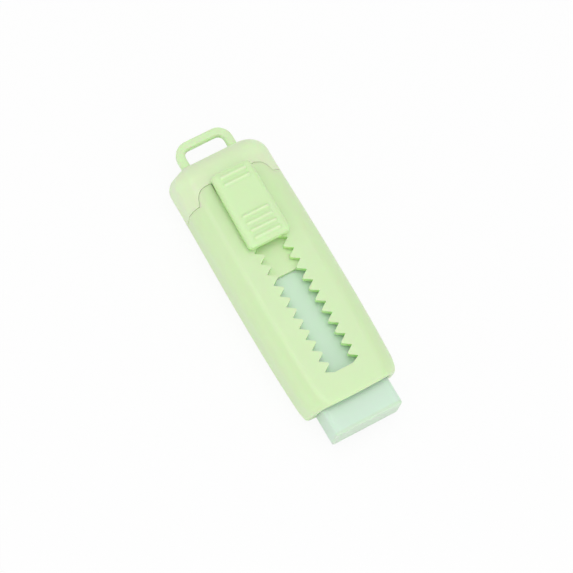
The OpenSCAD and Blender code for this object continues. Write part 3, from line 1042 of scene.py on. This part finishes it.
def pad_body(b, nx=190, ny=64):
    """The pad lying flat, its front edge at the origin and its top closely divided for the ribs."""
    def ring(inset, z):
        return [(v.x, v.y, z) for side in pad_sides(b, inset, nx, ny) for v in side[:-1]]

    bm = bmesh.new()
    rings = [ring(i, d) for d, i in rim(INNER_RIM)]
    rings += [ring(i, b.pad_t - d) for d, i in reversed(rim(b.edge_r, 5))]
    rows = loft(bm, rings)
    bm.faces.new(rows[0])
    right, back, left, ahead = pad_sides(b, b.edge_r, nx, ny)
    left, ahead = left[::-1], ahead[::-1]
    grid = []
    for i in range(nx + 1):
        u = i / nx
        line = []
        for j in range(ny + 1):
            v = j / ny
            point = (right[i] * (1 - v) + left[i] * v + ahead[j] * (1 - u) + back[j] * u
                     - right[0] * (1 - u) * (1 - v) - right[nx] * u * (1 - v)
                     - left[0] * (1 - u) * v - left[nx] * u * v)
            line.append(bm.verts.new((point.x, point.y, b.pad_t)))
        grid.append(line)
    for i in range(nx):
        for j in range(ny):
            bm.faces.new((grid[i][j], grid[i + 1][j], grid[i + 1][j + 1], grid[i][j + 1]))
    tidy(bm, 0.001)
    return bm


def make_button(context):
    b, f = groups(context, "button", "finish")
    face = SLEEVE_BOX[1].z
    front = BUTTON_BOX[0].x + b.pad_l
    up = Vector((math.sin(b.slope), 0, math.cos(b.slope)))
    level = up.dot(Vector((front, 0, face + b.lift)))
    # The pad's foot and the neck get the deep colour's painted shade; the ribs' crests get a
    # painted highlight
    material = plastic("button_plastic", f, [
        (level + FOOT_SHADE, f.deep), (level + b.pad_t - SHADE_END, f.button),
        (level + b.pad_t + HIGHLIGHT_START, f.button), (level + b.pad_t + b.rib_h, f.crest_highlight)], up)
    body = run_tree(rib_tree(), to_object("pad_flat", pad_body(b)), {
        "Top": b.pad_t, "Rear first": b.rear_margin - b.pad_l, "Rear ribs": b.rear_ribs,
        "Front first": -b.front_margin, "Front ribs": b.front_ribs, "Pitch": b.rib_pitch,
        "Length": b.rib_l, "Width": b.rib_w, "Height": b.rib_h, "Material": material})
    turn = Matrix.Rotation(b.slope, 4, "Y")
    body.transform(Matrix.Translation((front, 0, face + b.lift)) @ turn)
    pad = to_bmesh(body)
    x = BUTTON_BOX[0].x + b.neck_rear
    neck = block((x, -b.neck_w / 2, BUTTON_BOX[0].z),
                 (x + b.neck_l, b.neck_w / 2, face + b.lift + b.pad_t / 2))
    soften(neck, list(neck.edges), NECK_EDGE_R, 3)
    bm = combine(pad, [neck], "UNION")
    tidy(bm, 0.001)
    finish_piece("thumb_pad", bm, "button", "thumb_button", material)


# Pieces inside

LATCH_EDGE_R, CARRIER_EDGE_R = 0.08, 0.1
# Share of the eraser's height at which its leaning front face stands at its box's end
UPRIGHT_AT = 0.3
# Depths behind the mouth over which the painted light inside the holder fades out, and behind the
# front face over which its painted shade and grey reflection come in
LIGHT_INSIDE_TO, FACE_SHADE_FROM = (16, 5), (0.7, 0.3)


def clean_edges(bm, r):
    """Rounds the sharp edges of a body that was put together from blocks."""
    tidy(bm, 0.001)
    bmesh.ops.dissolve_limit(bm, angle_limit=0.01, verts=bm.verts, edges=bm.edges)
    soften(bm, sharp_edges(bm), r)


def make_latch(context):
    n, q, b = groups(context, "inside", "slot", "button")
    low, high = LATCH_BOX
    half = b.neck_w / 2
    strip = block((low.x, -half, low.z), (high.x, half, low.z + n.spring_t))
    x = low.x + n.tooth_place
    root = half - BITE
    foot = (high.y - root) * q.pitch / 2 / q.depth
    teeth = []
    for side in (-1, 1):
        plan = [(x - foot, side * root), (x + foot, side * root), (x, side * high.y)]
        teeth.append(solid([[(px, py, z) for px, py in plan] for z in (low.z, high.z)]))
    bm = combine(strip, teeth, "UNION")
    room = block((x - q.pitch, -half - 0.1, low.z + n.spring_t),
                 (x + q.pitch, half + 0.1, high.z + PAST))
    bm = combine(bm, [room])
    clean_edges(bm, LATCH_EDGE_R)
    piece = finish_piece("latch_tongue", bm, None, "latch_spring",
                         bpy.data.materials["carrier_plastic"])
    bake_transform(piece)


def make_carrier(context):
    n, f = groups(context, "inside", "finish")
    material = plastic("carrier_plastic", f, [(0, f.carrier), (1, f.carrier)])
    low, high = CARRIER_BOX
    front = high.x - n.nose_l
    inside = ERASER_BOX[1].y + n.grip_gap
    under = high.z - n.plate_t
    stop = ERASER_BOX[0].x - n.grip_gap
    body = solid([inner_ring(high.y, low.z, high.z, n.round_r, x) for x in (low.x, front)])
    half = high.y - n.round_r - 0.2
    nose = block((front - 1, -half, under), (high.x, half, high.z))
    bm = combine(body, [nose], "UNION")
    for a, b in (
            ((stop, -inside, low.z - PAST), (high.x + PAST, inside, under)),
            ((low.x + n.stop_t, -inside, low.z - PAST), (stop - n.stop_t, inside, under)),
            ((low.x - PAST, -inside, low.z - PAST), (high.x + PAST, inside, ERASER_BOX[0].z)),
            ((LATCH_BOX[1].x - n.window_l, -n.window_w / 2, under - PAST),
             (LATCH_BOX[1].x, n.window_w / 2, high.z + PAST))):
        bm = combine(bm, [block(a, b)])
    clean_edges(bm, CARRIER_EDGE_R)
    finish_piece("eraser_carrier_body", bm, "slider", "eraser_carrier", material)


def make_eraser(context):
    h, n, f = groups(context, "holder", "inside", "finish")
    low, high = ERASER_BOX
    whole = high.x - low.x
    r = max(n.eraser_corner_r, n.eraser_end_r)
    near = [r * (1 - math.cos(math.pi / 2 * i / 12)) for i in range(13)]
    middle = [blend_between(near[-1], whole - near[-1], i / 12) for i in range(1, 12)]
    rings = []
    for s in near + middle + [whole - s for s in reversed(near)]:
        end = min(s, whole - s)
        corner, edge = round_in(n.eraser_corner_r, end), round_in(n.eraser_end_r, end)
        lean = n.eraser_lean * ease(min(s / whole, 1))
        ring = []
        for column in COLUMNS:
            y, z = on_section(column, high.y - corner, low.z + edge, high.z - edge,
                              max(n.eraser_edge_r - edge, 0.3), max(n.eraser_foot_r - edge, 0.2))
            share_up = (z - low.z) / (high.z - low.z)
            ring.append((low.x + s + lean * (share_up - UPRIGHT_AT), y, z))
        rings.append(ring)
    mouth = holder_places(h).mouth
    # The eraser is painted lighter inside the holder, painted light, and darker and greyer on its
    # front face, painted shade and reflection
    material = vinyl("eraser_vinyl", f, [
        (mouth - LIGHT_INSIDE_TO[0], f.inner), (mouth - LIGHT_INSIDE_TO[1], f.eraser),
        (high.x - FACE_SHADE_FROM[0], f.eraser), (high.x - FACE_SHADE_FROM[1], f.face)])
    finish_piece("eraser_stick", solid(rings), "eraser", "eraser_block", material)


# Stage

CAMERA_BACK = Vector((0.2435, -0.2528, 0.9364)).normalized()
CAMERA_UP = Vector((-0.8331, 0.4392, 0.3352))
CAMERA_AIM = Vector((4.0, -1.8, 13.2)) * MM
# Places of the lamps and their width, in metres
KEY_PLACE = (0.0, 0.0, 0.50)
FRONT_PLACE = (0.45, -0.02, 0.10)
SIDE_PLACE = (0.05, -0.45, 0.08)
LAMP_SIZE = 0.30
FLOOR_HALF = 3
FLOOR_GLOW = 0.9


def lamp(name, place, power):
    """A large soft lamp that faces the object."""
    data = bpy.data.lights.new(name, "AREA")
    data.shape = "SQUARE"
    data.size = LAMP_SIZE
    data.energy = power
    obj = to_scene(name, data)
    obj.location = place
    obj.rotation_mode = "QUATERNION"
    obj.rotation_quaternion = (-Vector(place)).to_track_quat("-Z", "Y")


def make_camera(settings):
    """A camera that sees the object as the photograph does."""
    data = bpy.data.cameras.new("camera")
    data.angle = settings.view_angle
    distance = settings.view_w * MM / 2 / math.tan(settings.view_angle / 2)
    data.clip_start, data.clip_end = 0.01, 10
    obj = to_scene("camera", data)
    right = CAMERA_UP.cross(CAMERA_BACK).normalized()
    up = CAMERA_BACK.cross(right)
    turn = Matrix((right, up, CAMERA_BACK)).transposed().to_4x4()
    obj.matrix_world = Matrix.Translation(CAMERA_AIM + CAMERA_BACK * distance) @ turn
    bpy.context.scene.camera = obj


def make_floor(settings):
    """A pale floor that the camera sees nearly white, with the object's soft shadow on it."""
    bm = bmesh.new()
    bmesh.ops.create_grid(bm, x_segments=1, y_segments=1, size=FLOOR_HALF)
    mesh = bpy.data.meshes.new("floor")
    bm.to_mesh(mesh)
    bm.free()
    floor = to_scene("floor", mesh)
    material, t, shader = new_material("floor_white")
    t.feed(shader.inputs["Base Color"], (*settings.floor, 1))
    t.feed(shader.inputs["Roughness"], 0.9)
    t.feed(shader.inputs["Specular IOR Level"], 0.0)
    seen = t.add("ShaderNodeLightPath").outputs["Is Camera Ray"]
    mix = t.add("ShaderNodeMixShader", Fac=t.math("MULTIPLY", seen, FLOOR_GLOW))
    t.feed(mix.inputs[1], shader.outputs[0])
    t.feed(mix.inputs[2], t.add("ShaderNodeEmission").outputs[0])
    t.feed(t.tree.nodes["Material Output"].inputs["Surface"], mix.outputs[0])
    mesh.materials.append(material)


def make_sky(settings):
    """Even white light from all round; the camera sees it as white."""
    world = bpy.data.worlds.new("sky")
    bpy.context.scene.world = world
    world.use_nodes = True
    t = Nodes(world.node_tree)
    seen = t.add("ShaderNodeLightPath").outputs["Is Camera Ray"]
    level = t.add("ShaderNodeMapRange", Value=seen, To_Min=settings.sky, To_Max=1.0)
    background = t.tree.nodes["Background"]
    t.feed(background.inputs["Color"], (1, 1, 1, 1))
    t.feed(background.inputs["Strength"], level.outputs["Result"])


def make_stage(context):
    settings = groups(context, "stage")
    bpy.context.scene.view_settings.view_transform = "Standard"
    make_floor(settings)
    make_sky(settings)
    lamp("key_lamp", KEY_PLACE, settings.key)
    lamp("front_lamp", FRONT_PLACE, settings.front)
    lamp("side_lamp", SIDE_PLACE, settings.side)
    make_camera(settings)


# Add-on

class SLIDEERASER_OT_sleeve(bpy.types.Operator):
    """Build the sleeve with its zigzag slot."""
    bl_idname = "slideeraser.sleeve"
    bl_label = "Sleeve"

    def execute(self, context):
        make_sleeve(context)
        return {"FINISHED"}


class SLIDEERASER_OT_cap(bpy.types.Operator):
    """Build the end cap with its key loop."""
    bl_idname = "slideeraser.cap"
    bl_label = "End cap"

    def execute(self, context):
        make_cap(context)
        return {"FINISHED"}


class SLIDEERASER_OT_button(bpy.types.Operator):
    """Build the ribbed thumb button."""
    bl_idname = "slideeraser.button"
    bl_label = "Thumb button"

    def execute(self, context):
        make_button(context)
        return {"FINISHED"}


class SLIDEERASER_OT_carrier(bpy.types.Operator):
    """Build the carrier that holds the eraser."""
    bl_idname = "slideeraser.carrier"
    bl_label = "Carrier"

    def execute(self, context):
        make_carrier(context)
        return {"FINISHED"}


class SLIDEERASER_OT_latch(bpy.types.Operator):
    """Build the sprung tongue with the latch teeth."""
    bl_idname = "slideeraser.latch"
    bl_label = "Latch tongue"

    def execute(self, context):
        make_latch(context)
        return {"FINISHED"}


class SLIDEERASER_OT_eraser(bpy.types.Operator):
    """Build the eraser block."""
    bl_idname = "slideeraser.eraser"
    bl_label = "Eraser"

    def execute(self, context):
        make_eraser(context)
        return {"FINISHED"}


class SLIDEERASER_OT_stage(bpy.types.Operator):
    """Set the floor, the lamps and the camera."""
    bl_idname = "slideeraser.stage"
    bl_label = "Stage"

    def execute(self, context):
        make_stage(context)
        return {"FINISHED"}


GROUPS = {
    "eraser_holder": HolderSizes, "eraser_slot": SlotSizes, "eraser_button": ButtonSizes,
    "eraser_inside": InsideSizes, "eraser_finish": Finishes, "eraser_stage": StageSettings,
}
OPERATORS = (
    SLIDEERASER_OT_sleeve, SLIDEERASER_OT_cap, SLIDEERASER_OT_button, SLIDEERASER_OT_carrier,
    SLIDEERASER_OT_latch, SLIDEERASER_OT_eraser, SLIDEERASER_OT_stage,
)


class SLIDEERASER_PT_panel(bpy.types.Panel):
    """Lists the pieces and their sizes."""
    bl_idname = "SLIDEERASER_PT_panel"
    bl_label = "Slide eraser"
    bl_space_type = "VIEW_3D"
    bl_region_type = "UI"
    bl_category = "Slide eraser"

    def draw(self, context):
        for operator in OPERATORS:
            self.layout.operator(operator.bl_idname)
        for name, group in GROUPS.items():
            area = self.layout.box()
            area.label(text=name.replace("eraser_", "").capitalize())
            for key in group.__annotations__:
                area.prop(getattr(context.scene, name), key)


CLASSES = (*GROUPS.values(), *OPERATORS, SLIDEERASER_PT_panel)


def register():
    for item in CLASSES:
        bpy.utils.register_class(item)
    for name, group in GROUPS.items():
        setattr(bpy.types.Scene, name, bpy.props.PointerProperty(type=group))


def unregister():
    for name in GROUPS:
        delattr(bpy.types.Scene, name)
    for item in reversed(CLASSES):
        bpy.utils.unregister_class(item)


def main():
    register()
    bpy.ops.slideeraser.sleeve()
    bpy.ops.slideeraser.cap()
    bpy.ops.slideeraser.button()
    bpy.ops.slideeraser.carrier()
    bpy.ops.slideeraser.latch()
    bpy.ops.slideeraser.eraser()
    bpy.ops.slideeraser.stage()


if __name__ == "__main__":
    main()
